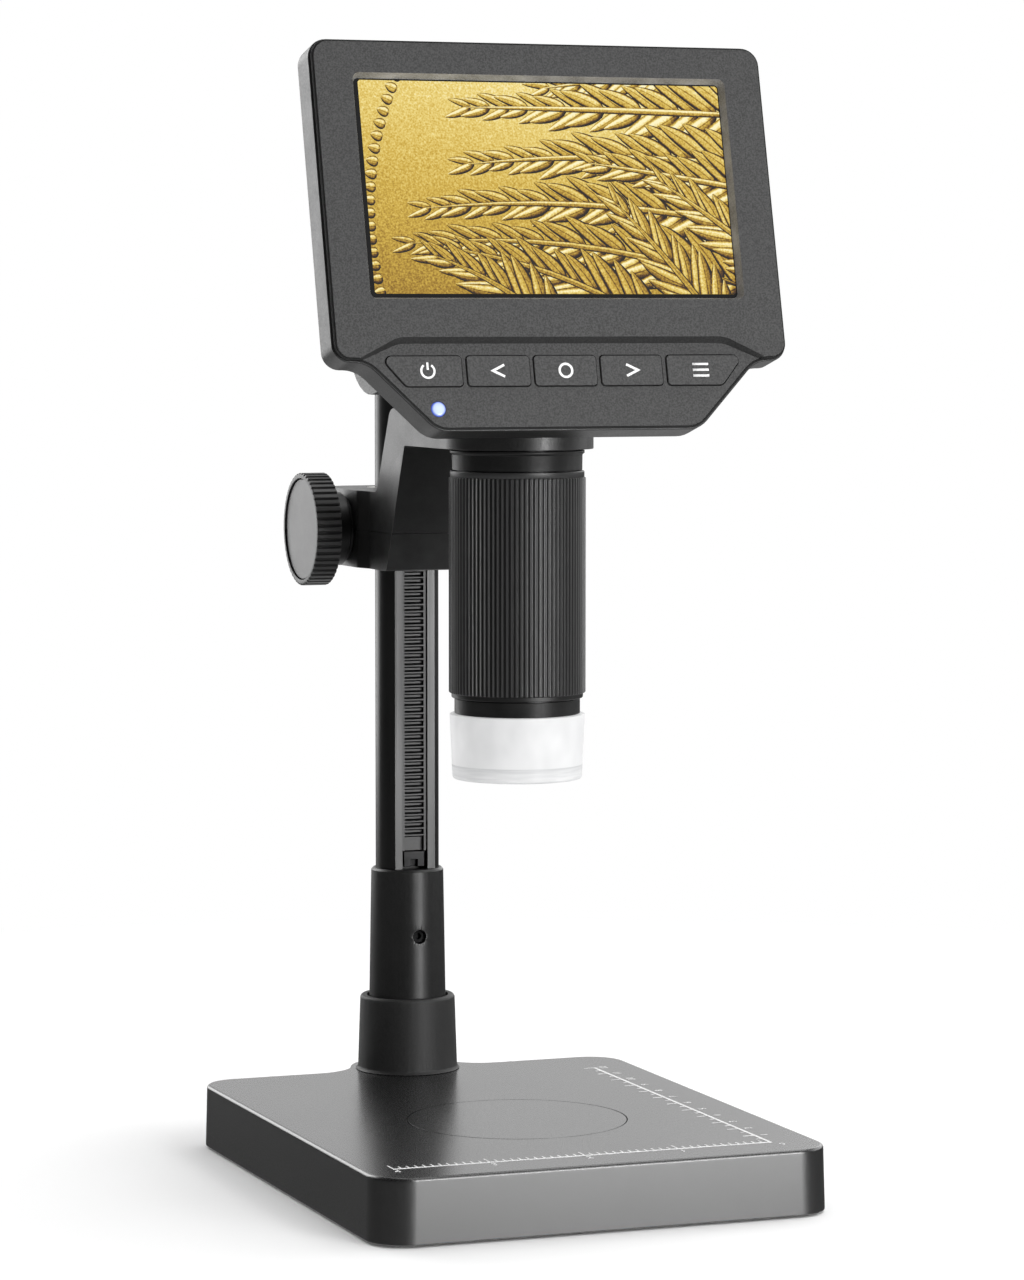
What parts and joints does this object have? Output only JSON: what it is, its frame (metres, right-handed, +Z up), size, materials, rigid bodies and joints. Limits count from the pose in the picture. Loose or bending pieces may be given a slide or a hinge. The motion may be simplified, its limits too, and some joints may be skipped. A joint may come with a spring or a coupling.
{
  "type": "digital microscope",
  "caption": "Bench digital microscope: a tilted display head and focusing barrel in a ring arm, racked up and down a column on a flat base with a ruled stage.",
  "frame": {"origin": "on the table, in the middle of the base block with its rear lug", "axes": "+X to the right of someone facing the display, +Y to the back, +Z up the column"},
  "size_m": [0.123, 0.1694, 0.2962],
  "materials": {
    "black_plastic": "satin, fine grain",
    "rubber": "matt",
    "grip": "ribbed, satin",
    "stage": "satin",
    "steel": "machined",
    "print": "printed",
    "anodised": "black anodised",
    "grey_plastic": "satin, fine grain",
    "key_plastic": "satin, printed marks",
    "bearing": "smooth",
    "brass": "machined",
    "lens_glass": "coated",
    "board": "circuit board",
    "lamp": "lit",
    "frosted": "frosted, translucent",
    "display": "framed panel",
    "window": "clear, with a picture behind it",
    "cell": "wrapped"
  },
  "bodies": {
    "base": {"base_shell": "black_plastic", "base_cover": "black_plastic", "ballast_plate": "steel", "rubber_feet": "rubber", "base_screws": "steel", "scale_inch": "print", "scale_cm": "print", "post_socket": "black_plastic", "post_sleeve": "black_plastic", "post_bolt": "steel", "sleeve_screw": "steel", "column": "anodised", "column_cap": "black_plastic", "rack": "steel", "rack_stop": "steel"},
    "stage": {"stage_disc": "stage"},
    "carriage": {"carriage_arm": "black_plastic", "carriage_base": "black_plastic", "carriage_screws": "steel", "guide_bush_upper": "bearing", "guide_bush_lower": "bearing", "tension_pad": "brass", "tension_screw": "steel", "axle_bush_left": "brass", "axle_bush_right": "brass", "axle_cover": "grey_plastic", "ring_liner": "rubber"},
    "pinion": {"pinion_shaft": "steel", "knob": "grip", "knob_cap": "grey_plastic"},
    "head": {"barrel_tube": "anodised", "barrel_collar": "black_plastic", "sensor_board": "board", "image_sensor": "board", "sensor_ribbon": "board", "nose_ring": "black_plastic", "light_board": "board", "light_chips": "lamp", "diffuser": "frosted", "rear_housing": "black_plastic", "front_cover": "grey_plastic", "seam_trim": "rubber", "display_panel": "display", "display_window": "window", "button_board": "board", "status_light": "lamp", "main_board": "board", "battery": "cell", "battery_door": "black_plastic", "usb_port": "steel", "card_slot": "steel"},
    "focus": {"focus_ring": "grip"},
    "lens": {"lens_cell": "anodised", "objective_lens": "lens_glass"},
    "key_power": {"button_power": "key_plastic"},
    "key_left": {"button_left": "key_plastic"},
    "key_ok": {"button_ok": "key_plastic"},
    "key_right": {"button_right": "key_plastic"},
    "key_menu": {"button_menu": "key_plastic"},
    "dimmer": {"dimmer_wheel": "grip"}
  },
  "joints": [
    {"name": "stage_lift", "type": "slide", "parent": "base", "child": "stage", "axis": [0, 0, 1], "range_m": [0, 0.02]},
    {"name": "carriage_slide", "type": "slide", "parent": "base", "child": "carriage", "axis": [0, 0, 1], "range_m": [-0.078, 0.07]},
    {"name": "pinion_spin", "type": "hinge", "parent": "carriage", "child": "pinion", "pos_m": [0, 0.05845, 0.169], "axis": [1, 0, 0], "range_deg": [-955.9, 1065.1]},
    {"name": "head_swivel", "type": "hinge", "parent": "carriage", "child": "head", "pos_m": [0, -0.01805, 0.198], "axis": [0, 0, 1], "range_deg": [-90, 90]},
    {"name": "focus_turn", "type": "hinge", "parent": "head", "child": "focus", "pos_m": [0, -0.01805, 0.158], "axis": [0, 0, 1], "range_deg": [0, 180]},
    {"name": "lens_slide", "type": "slide", "parent": "head", "child": "lens", "axis": [0, 0, 1], "range_m": [0, 0.00401]},
    {"name": "press_power", "type": "slide", "parent": "head", "child": "key_power", "axis": [0, 0.9707, -0.2402], "range_m": [0, 0.0005], "stiffness_N_per_m": 1500},
    {"name": "press_left", "type": "slide", "parent": "head", "child": "key_left", "axis": [0, 0.9707, -0.2402], "range_m": [0, 0.0005], "stiffness_N_per_m": 1500},
    {"name": "press_ok", "type": "slide", "parent": "head", "child": "key_ok", "axis": [0, 0.9707, -0.2402], "range_m": [0, 0.0005], "stiffness_N_per_m": 1500},
    {"name": "press_right", "type": "slide", "parent": "head", "child": "key_right", "axis": [0, 0.9707, -0.2402], "range_m": [0, 0.0005], "stiffness_N_per_m": 1500},
    {"name": "press_menu", "type": "slide", "parent": "head", "child": "key_menu", "axis": [0, 0.9707, -0.2402], "range_m": [0, 0.0005], "stiffness_N_per_m": 1500},
    {"name": "dimmer_turn", "type": "hinge", "parent": "head", "child": "dimmer", "pos_m": [0.0426, -0.01489, 0.27757], "axis": [0, 0.2402, 0.9707], "range_deg": [0, 270]}
  ],
  "couplings": [
    {"joint": "pinion_spin", "follows": "carriage_slide", "rad_per_m": -238.1},
    {"joint": "lens_slide", "follows": "focus_turn", "m_per_rad": 0.0012732}
  ]
}
